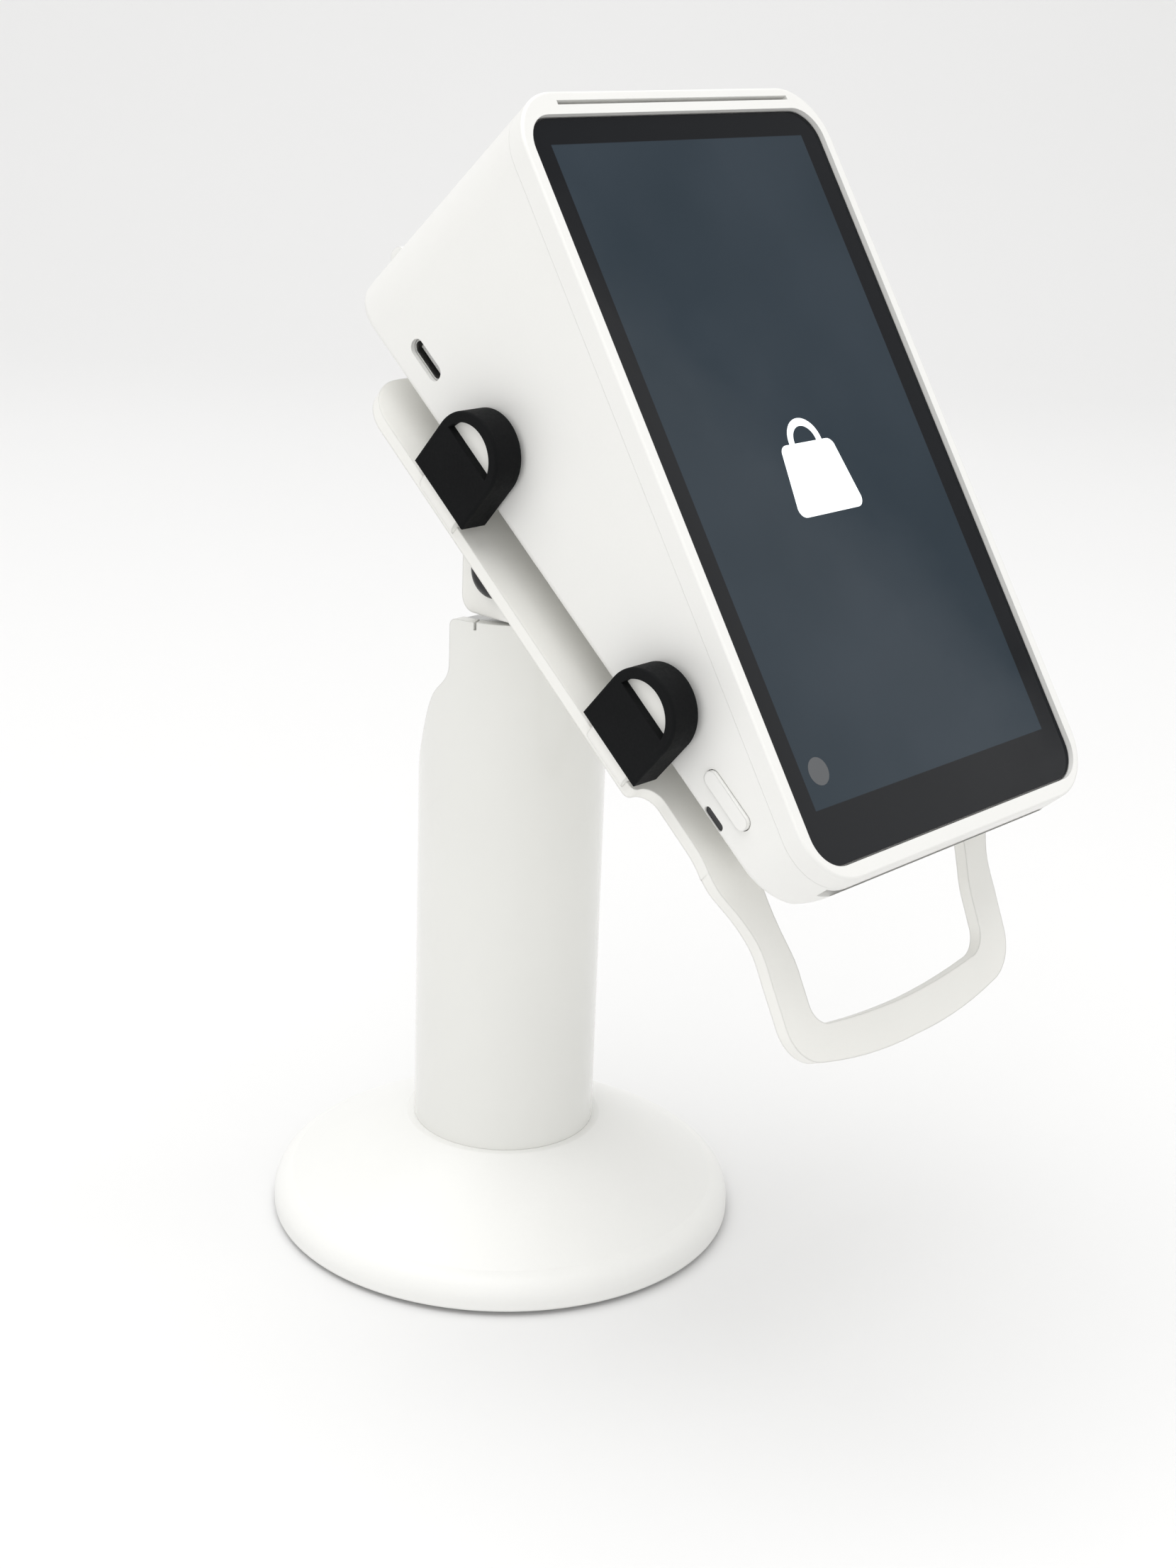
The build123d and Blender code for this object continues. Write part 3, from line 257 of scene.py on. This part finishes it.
for name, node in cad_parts.items():
    material = RUBBER if name.startswith("grip_cap") else FINISH[name]
    node.data.materials.clear()
    node.data.materials.append(material)
    for polygon in node.data.polygons:
        polygon.material_index = 0
    node.data.shade_smooth()
    node.data.set_sharp_from_angle(angle=SMOOTH_ANGLE)


# ---------------------------------------------------------------- pieces on the screen
def flat_piece(name, outlines, out, material, where=on_screen, depth=0.06):
    """Thin flat shapes on the terminal. Each outline is a closed loop in millimetres."""
    bm = bmesh.new()
    for loop in outlines:
        top = [bm.verts.new(where(a, b, out)) for a, b in loop]
        low = [bm.verts.new(where(a, b, out - depth)) for a, b in loop]
        bm.faces.new(top)
        bm.faces.new(list(reversed(low)))
        count = len(loop)
        for i in range(count):
            bm.faces.new((top[i], low[i], low[(i + 1) % count], top[(i + 1) % count]))
    bmesh.ops.recalc_face_normals(bm, faces=bm.faces)
    mesh = bpy.data.meshes.new(name)
    bm.to_mesh(mesh)
    bm.free()
    piece = bpy.data.objects.new(name, mesh)
    bpy.context.scene.collection.objects.link(piece)
    mesh.materials.append(material)
    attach(piece, "terminal")
    return piece


def arc(cx, cy, radius, start, end, steps):
    """Points along an arc, with its angles in degrees."""
    points = []
    for i in range(steps + 1):
        a = math.radians(start + (end - start) * i / steps)
        points.append((cx + radius * math.cos(a), cy + radius * math.sin(a)))
    return points


def bag_outline():
    """A plain shopping bag: wider at its foot, with round corners."""
    foot, top, height, r = 9.2, 7.6, 6.8, 1.8
    loop = arc(foot - r, -height + r, r, -90, 0, 6)
    loop += arc(top - r, height - r, r, 0, 90, 6)
    loop += arc(-top + r, height - r, r, 90, 180, 6)
    loop += arc(-foot + r, -height + r, r, 180, 270, 6)
    return [(x, along - 2.6) for x, along in loop]


def handle_outline():
    """The bag's handle: an open ring that stands in its top edge."""
    centre, outer, inner = 4.2, 4.6, 3.1
    outside = arc(0, centre, outer, -8, 188, 28)
    inside = arc(0, centre, inner, 188, -8, 28)
    return outside + inside


ICON = glow_material("lit_icon", (0.86, 0.90, 0.91), 0.55)
icon = flat_piece("screen_bag_icon", [bag_outline(), handle_outline()], 0.03, ICON)
DOT_X, DOT_ALONG, DOT_RADIUS = -30.2, -52.2, 2.5
DOT = surface("dim_dot", (0.055, 0.060, 0.066), 0.1, (0.1, 0.16), grain=900, bump=0.02, edge=0.00002)
dot = flat_piece("screen_dot", [arc(DOT_X, DOT_ALONG, DOT_RADIUS, 0, 360 - 9, 39)], 0.02, DOT)

# a thin dark sheet on the floor of the small slot in the left wall's back edge: painted shade, standing in
# for the shadow deep in the slot
SLOT_ALONG, SLOT_UP, SLOT_HALF, SLOT_END = -55.5, -0.2, 1.7, 0.78
SLOT_FLOOR = -41.3
slot_loop = arc(SLOT_ALONG + SLOT_HALF, SLOT_UP, SLOT_END, -90, 90, 8)
slot_loop += arc(SLOT_ALONG - SLOT_HALF, SLOT_UP, SLOT_END, 90, 270, 8)
slot_shade_sheet = flat_piece("loop_slot_painted_shade", [slot_loop], SLOT_FLOOR, INNER_PLASTIC, where=in_side, depth=0.4)

# ---------------------------------------------------------------- stage
# a floor that curves up into a wall behind the object, square to the camera
AZIMUTH, ELEVATION, ROLL = math.radians(-47.64), math.radians(19.17), math.radians(2.16)
SWEEP_START, SWEEP_RADIUS, SWEEP_HEIGHT, WIDE, NEAR_END = 1.1, 0.9, 2.6, 8.0, -9.0
CURVE_STEPS = 16
bm = bmesh.new()
view_dir = Vector((-math.sin(AZIMUTH), math.cos(AZIMUTH), 0))
side_dir = Vector((view_dir.y, -view_dir.x, 0))
profile = [(NEAR_END, 0.0), (SWEEP_START, 0.0)]
for i in range(1, CURVE_STEPS + 1):
    a = math.radians(90 * i / CURVE_STEPS)
    profile.append((SWEEP_START + SWEEP_RADIUS * math.sin(a), SWEEP_RADIUS * (1 - math.cos(a))))
profile.append((SWEEP_START + SWEEP_RADIUS, SWEEP_HEIGHT))
rows = []
for distance, height in profile:
    middle = view_dir * distance + Vector((0, 0, height))
    rows.append([bm.verts.new(middle + side_dir * s * WIDE) for s in (-1, 1)])
for a, b in zip(rows, rows[1:]):
    bm.faces.new((a[0], a[1], b[1], b[0]))
mesh = bpy.data.meshes.new("studio_sweep")
bm.to_mesh(mesh)
bm.free()
mesh.shade_smooth()
sweep = bpy.data.objects.new("studio_sweep", mesh)
bpy.context.scene.collection.objects.link(sweep)
mesh.materials.append(surface("sweep_paper", (0.82, 0.82, 0.82), 0.004, (0.7, 0.8), grain=300,
                              bump=0.03, edge=0.001, patch=3.0, specular=0.2))

# ---------------------------------------------------------------- light
world = bpy.data.worlds.new("studio")
bpy.context.scene.world = world
world.use_nodes = True
world.node_tree.nodes["Background"].inputs["Color"].default_value = (1.0, 0.995, 0.985, 1)
world.node_tree.nodes["Background"].inputs["Strength"].default_value = 0.66


def softbox(name, place, aim, size, power):
    """A white area light at a place, in metres, that points at its aim."""
    light = bpy.data.lights.new(name, "AREA")
    light.shape = "RECTANGLE"
    light.size, light.size_y = size
    light.energy = power
    lamp = bpy.data.objects.new(name, light)
    bpy.context.scene.collection.objects.link(lamp)
    lamp.location = place
    lamp.rotation_euler = (Vector(aim) - Vector(place)).to_track_quat("-Z", "Y").to_euler()
    return lamp


softbox("overhead", (-0.25, 0.0, 1.8), (0, -0.03, 0.1), (2.2, 2.2), 27)
softbox("front_right", (1.12, -0.98, 0.88), (0, -0.05, 0.15), (0.5, 0.9), 1.3)
softbox("left_fill", (-1.2, -0.8, 0.5), (0, -0.03, 0.12), (1.2, 1.0), 3.0)

# ---------------------------------------------------------------- camera
CAMERA_PLACE = Vector((-332.5, -324.8, 259.3)) * MM
backward = Vector((math.sin(AZIMUTH) * math.cos(ELEVATION), -math.cos(AZIMUTH) * math.cos(ELEVATION),
                   math.sin(ELEVATION)))
level = Vector((math.cos(AZIMUTH), math.sin(AZIMUTH), 0))
upward = backward.cross(level)
right = level * math.cos(ROLL) + upward * math.sin(ROLL)
above = upward * math.cos(ROLL) - level * math.sin(ROLL)
camera_data = bpy.data.cameras.new("camera")
camera = bpy.data.objects.new("camera", camera_data)
bpy.context.scene.collection.objects.link(camera)
place = Matrix((right, above, backward)).transposed().to_4x4()
place.translation = CAMERA_PLACE
camera.matrix_world = place
camera_data.sensor_width = 36.0
camera_data.lens = 53.92
camera_data.clip_start = 0.01
bpy.context.scene.camera = camera
bpy.context.scene.view_settings.view_transform = "Standard"
